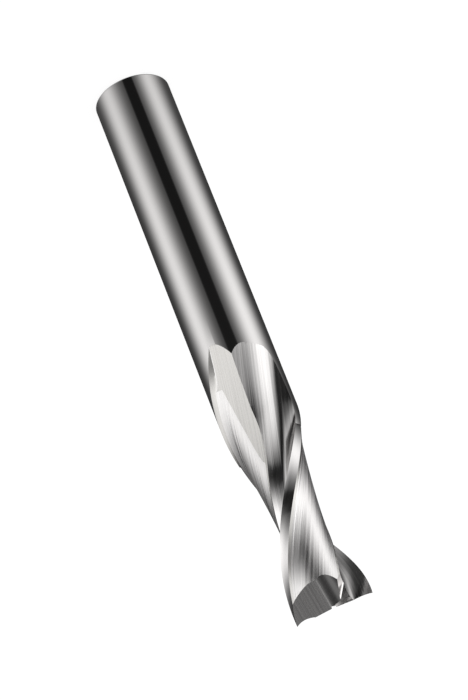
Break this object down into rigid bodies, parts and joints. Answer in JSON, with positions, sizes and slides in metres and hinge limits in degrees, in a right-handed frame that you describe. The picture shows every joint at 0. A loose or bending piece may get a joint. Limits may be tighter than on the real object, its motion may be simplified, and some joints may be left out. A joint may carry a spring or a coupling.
{
  "type": "end mill",
  "caption": "Solid slot end mill with a plain cylindrical shank, helical flutes with run-outs, ground lands and gashed end teeth.",
  "frame": {"origin": "centre of the flat end face of the shank", "axes": "+Z along the axis from the shank to the cutting end; +X from the axis to the tip corner of one tooth"},
  "size_m": [0.008, 0.008, 0.063],
  "materials": {
    "carbide": "ground"
  },
  "bodies": {
    "root": {"end_mill": "carbide"}
  },
  "joints": []
}
